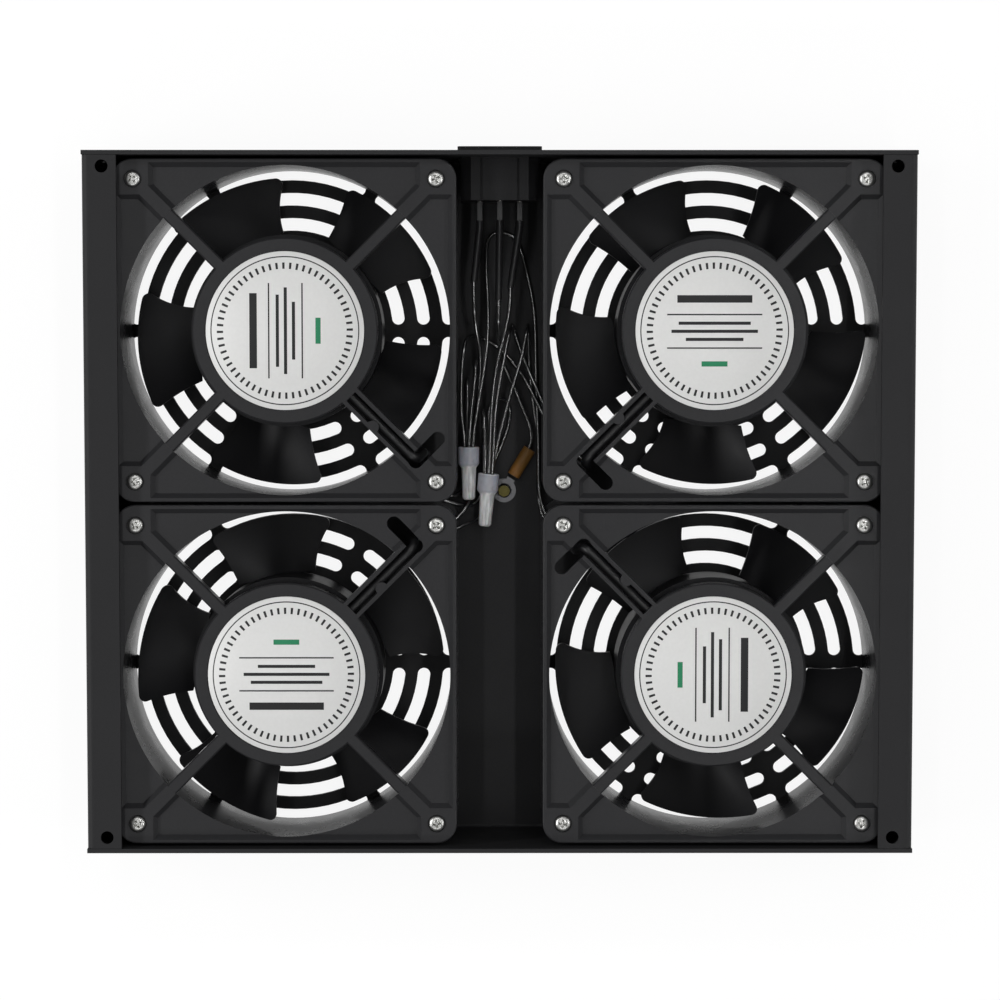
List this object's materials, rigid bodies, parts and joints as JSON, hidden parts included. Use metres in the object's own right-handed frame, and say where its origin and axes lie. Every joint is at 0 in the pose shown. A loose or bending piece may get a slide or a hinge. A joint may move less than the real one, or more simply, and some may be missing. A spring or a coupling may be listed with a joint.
{
  "type": "rack fan tray",
  "caption": "Folded black steel rack fan tray with axial fans over slotted air openings, a mains inlet in one wall and loose wiring in the aisle between the fans.",
  "frame": {"origin": "centre of the plate's underside, on the surface that the tray lies on", "axes": "+X along the tray's longer side, +Y towards the wall with the inlet, +Z towards the open side"},
  "size_m": [0.288, 0.246, 0.044],
  "materials": {
    "tray_paint": "fine-grained black powder coat",
    "fan_frame_paint": "satin black paint on die-cast aluminium",
    "label_foil": "satin silver foil, unprinted but for plain marks",
    "lead_sleeve_vinyl": "black vinyl tubing",
    "stator_steel": "stacked electrical steel",
    "winding_copper": "enamelled copper wire",
    "bush_bronze": "sintered bronze",
    "impeller_plastic": "black glass-filled plastic",
    "rotor_steel": "turned steel",
    "shaft_steel": "ground steel",
    "screw_steel": "zinc-plated steel",
    "inlet_plastic": "black moulded plastic",
    "contact_nickel": "nickel-plated brass",
    "terminal_vinyl": "black soft vinyl",
    "stud_steel": "olive-passivated zinc on steel",
    "lug_tin": "dull tin-plated copper",
    "lug_sleeve_vinyl": "orange-brown vinyl",
    "cap_nylon": "milky nylon",
    "cap_barrel_tin": "tin-plated steel",
    "wire_vinyl": "black vinyl insulation"
  },
  "bodies": {
    "tray": {"earth_lug": "lug_tin", "earth_lug_sleeve": "lug_sleeve_vinyl", "earth_stud": "stud_steel", "earth_supply": "wire_vinyl", "fan_screws": "screw_steel", "front_left_bushes": "bush_bronze", "front_left_frame": "fan_frame_paint", "front_left_label": "label_foil", "front_left_lead_sleeve": "lead_sleeve_vinyl", "front_left_line_lead": "wire_vinyl", "front_left_neutral_lead": "wire_vinyl", "front_left_stator_core": "stator_steel", "front_left_windings": "winding_copper", "front_right_bushes": "bush_bronze", "front_right_frame": "fan_frame_paint", "front_right_label": "label_foil", "front_right_lead_sleeve": "lead_sleeve_vinyl", "front_right_line_lead": "wire_vinyl", "front_right_neutral_lead": "wire_vinyl", "front_right_stator_core": "stator_steel", "front_right_windings": "winding_copper", "inlet_body": "inlet_plastic", "inlet_contacts": "contact_nickel", "line_cap": "cap_nylon", "line_cap_barrel": "cap_barrel_tin", "line_supply": "wire_vinyl", "neutral_cap": "cap_nylon", "neutral_cap_barrel": "cap_barrel_tin", "neutral_supply": "wire_vinyl", "rear_left_bushes": "bush_bronze", "rear_left_frame": "fan_frame_paint", "rear_left_label": "label_foil", "rear_left_lead_sleeve": "lead_sleeve_vinyl", "rear_left_line_lead": "wire_vinyl", "rear_left_neutral_lead": "wire_vinyl", "rear_left_stator_core": "stator_steel", "rear_left_windings": "winding_copper", "rear_right_bushes": "bush_bronze", "rear_right_frame": "fan_frame_paint", "rear_right_label": "label_foil", "rear_right_lead_sleeve": "lead_sleeve_vinyl", "rear_right_line_lead": "wire_vinyl", "rear_right_neutral_lead": "wire_vinyl", "rear_right_stator_core": "stator_steel", "rear_right_windings": "winding_copper", "terminal_sleeves": "terminal_vinyl", "tray_shell": "tray_paint"},
    "front_left_rotor": {"front_left_impeller": "impeller_plastic", "front_left_rotor_ring": "rotor_steel", "front_left_shaft": "shaft_steel"},
    "front_right_rotor": {"front_right_impeller": "impeller_plastic", "front_right_rotor_ring": "rotor_steel", "front_right_shaft": "shaft_steel"},
    "rear_left_rotor": {"rear_left_impeller": "impeller_plastic", "rear_left_rotor_ring": "rotor_steel", "rear_left_shaft": "shaft_steel"},
    "rear_right_rotor": {"rear_right_impeller": "impeller_plastic", "rear_right_rotor_ring": "rotor_steel", "rear_right_shaft": "shaft_steel"}
  },
  "joints": [
    {"name": "front_left_spin", "type": "hinge", "parent": "tray", "child": "front_left_rotor", "pos_m": [-0.0745, 0.06, 0.0205], "axis": [0, 0, 1], "continuous": true},
    {"name": "front_right_spin", "type": "hinge", "parent": "tray", "child": "front_right_rotor", "pos_m": [0.0745, 0.06, 0.0205], "axis": [0, 0, 1], "continuous": true},
    {"name": "rear_left_spin", "type": "hinge", "parent": "tray", "child": "rear_left_rotor", "pos_m": [-0.0745, -0.06, 0.0205], "axis": [0, 0, 1], "continuous": true},
    {"name": "rear_right_spin", "type": "hinge", "parent": "tray", "child": "rear_right_rotor", "pos_m": [0.0745, -0.06, 0.0205], "axis": [0, 0, 1], "continuous": true}
  ]
}
